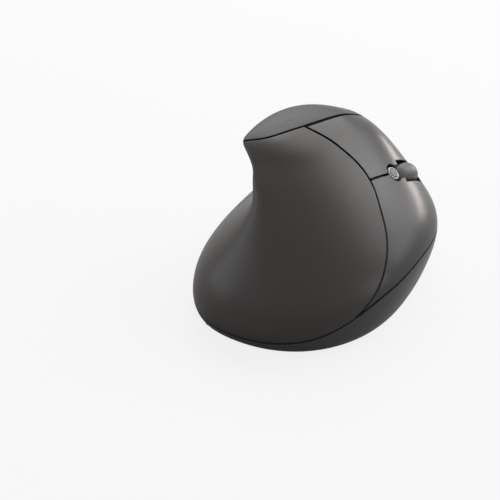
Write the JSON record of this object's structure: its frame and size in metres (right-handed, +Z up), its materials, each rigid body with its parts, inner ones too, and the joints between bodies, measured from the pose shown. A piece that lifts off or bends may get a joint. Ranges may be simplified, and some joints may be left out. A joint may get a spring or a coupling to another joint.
{
  "type": "upright mouse",
  "caption": "Upright right-hand computer mouse with a palm saddle, long finger keys, a scroll wheel, side keys and a flared base.",
  "frame": {"origin": "on the desk under the middle of the mouse, at the level of its glide feet", "axes": "+Z up, +Y away from the wrist towards the finger tips, +X towards the ring finger, so the thumb side is -X"},
  "size_m": [0.0739, 0.0915, 0.0531],
  "materials": {
    "soft_shell": "fine soft-touch texture",
    "base_plastic": "fine eroded texture",
    "button_plastic": "satin",
    "ring_metal": "satin plated",
    "tyre_rubber": "smooth",
    "hub_plastic": "as moulded",
    "inner_plastic": "as moulded",
    "board_laminate": "solder mask",
    "switch_plastic": "as moulded",
    "plunger_plastic": "as moulded",
    "steel": "bright",
    "clear_plastic": "clear moulded",
    "cell_foil": "foil",
    "foam": "foam",
    "glide": "polished by use"
  },
  "bodies": {
    "base": {"back_switch": "switch_plastic", "base_shell": "base_plastic", "battery_cell": "cell_foil", "battery_pad": "foam", "charge_socket": "switch_plastic", "dpi_switch": "switch_plastic", "forward_switch": "switch_plastic", "front_foot": "glide", "hinge_pin": "steel", "index_switch": "switch_plastic", "key_board": "board_laminate", "key_frame": "inner_plastic", "main_board": "board_laminate", "middle_switch": "switch_plastic", "palm_shell": "soft_shell", "power_switch": "switch_plastic", "rear_foot": "glide", "receiver_grip": "switch_plastic", "receiver_plug": "steel", "screw_palm_left": "steel", "screw_palm_rear": "steel", "screw_palm_right": "steel", "screw_panel_front": "steel", "sensor_chip": "switch_plastic", "sensor_lens": "clear_plastic", "sensor_light": "clear_plastic", "side_foot": "glide", "thumb_board": "board_laminate", "thumb_foot": "glide", "thumb_panel": "soft_shell", "wheel_switch": "switch_plastic"},
    "index_key": {"index_key": "soft_shell"},
    "middle_key": {"middle_key": "soft_shell"},
    "index_plunger": {"index_plunger": "plunger_plastic"},
    "middle_plunger": {"middle_plunger": "plunger_plastic"},
    "wheel_cradle": {"wheel_cradle": "hub_plastic", "wheel_encoder": "inner_plastic"},
    "wheel": {"wheel_tyre": "tyre_rubber", "wheel_hub": "hub_plastic"},
    "wheel_plunger": {"wheel_plunger": "plunger_plastic"},
    "dpi_key": {"dpi_key": "button_plastic", "dpi_ring": "ring_metal"},
    "dpi_plunger": {"dpi_plunger": "plunger_plastic"},
    "back_key": {"back_key": "button_plastic"},
    "back_plunger": {"back_plunger": "plunger_plastic"},
    "forward_key": {"forward_key": "button_plastic"},
    "forward_plunger": {"forward_plunger": "plunger_plastic"},
    "power_slider": {"power_slider": "button_plastic"}
  },
  "joints": [
    {"name": "index_press", "type": "hinge", "parent": "base", "child": "index_key", "pos_m": [0.00341, -0.00955, 0.03634], "axis": [-0.7694, 0.3489, 0.5351], "range_deg": [0, 0.7], "stiffness_Nm_per_rad": 0.6, "springref_deg": -1.15},
    {"name": "index_plunger_slide", "type": "slide", "parent": "base", "child": "index_plunger", "axis": [-0.608, -0.143, -0.781], "range_m": [0, 0.0003]},
    {"name": "middle_press", "type": "hinge", "parent": "base", "child": "middle_key", "pos_m": [0.00341, -0.00955, 0.03634], "axis": [-0.7694, 0.3489, 0.5351], "range_deg": [0, 0.7], "stiffness_Nm_per_rad": 0.6, "springref_deg": -1.15},
    {"name": "middle_plunger_slide", "type": "slide", "parent": "base", "child": "middle_plunger", "axis": [-0.608, -0.143, -0.781], "range_m": [0, 0.0003]},
    {"name": "wheel_click", "type": "slide", "parent": "base", "child": "wheel_cradle", "axis": [-0.608, -0.143, -0.781], "range_m": [0, 0.0004], "stiffness_N_per_m": 1000, "springref_m": -0.0006},
    {"name": "wheel_plunger_slide", "type": "slide", "parent": "base", "child": "wheel_plunger", "axis": [-0.608, -0.143, -0.781], "range_m": [0, 0.0004]},
    {"name": "wheel_spin", "type": "hinge", "parent": "wheel_cradle", "child": "wheel", "pos_m": [0.01461, 0.02812, 0.02789], "axis": [-0.7694, 0.3489, 0.5351], "continuous": true},
    {"name": "dpi_press", "type": "slide", "parent": "base", "child": "dpi_key", "axis": [-0.608, -0.143, -0.781], "range_m": [0, 0.0004], "stiffness_N_per_m": 1000, "springref_m": -0.0006},
    {"name": "dpi_plunger_slide", "type": "slide", "parent": "base", "child": "dpi_plunger", "axis": [-0.608, -0.143, -0.781], "range_m": [0, 0.0004]},
    {"name": "back_press", "type": "slide", "parent": "base", "child": "back_key", "axis": [1, 0, 0], "range_m": [0, 0.0004], "stiffness_N_per_m": 1000, "springref_m": -0.0006},
    {"name": "back_plunger_slide", "type": "slide", "parent": "base", "child": "back_plunger", "axis": [1, 0, 0], "range_m": [0, 0.0004]},
    {"name": "forward_press", "type": "slide", "parent": "base", "child": "forward_key", "axis": [1, 0, 0], "range_m": [0, 0.0004], "stiffness_N_per_m": 1000, "springref_m": -0.0006},
    {"name": "forward_plunger_slide", "type": "slide", "parent": "base", "child": "forward_plunger", "axis": [1, 0, 0], "range_m": [0, 0.0004]},
    {"name": "power_slide", "type": "slide", "parent": "base", "child": "power_slider", "axis": [1, 0, 0], "range_m": [0, 0.003]}
  ],
  "couplings": [
    {"joint": "index_plunger_slide", "follows": "index_press", "m_per_rad": 0.022},
    {"joint": "middle_plunger_slide", "follows": "middle_press", "m_per_rad": 0.022},
    {"joint": "wheel_plunger_slide", "follows": "wheel_click", "ratio": 1},
    {"joint": "dpi_plunger_slide", "follows": "dpi_press", "ratio": 1},
    {"joint": "back_plunger_slide", "follows": "back_press", "ratio": 1},
    {"joint": "forward_plunger_slide", "follows": "forward_press", "ratio": 1}
  ]
}
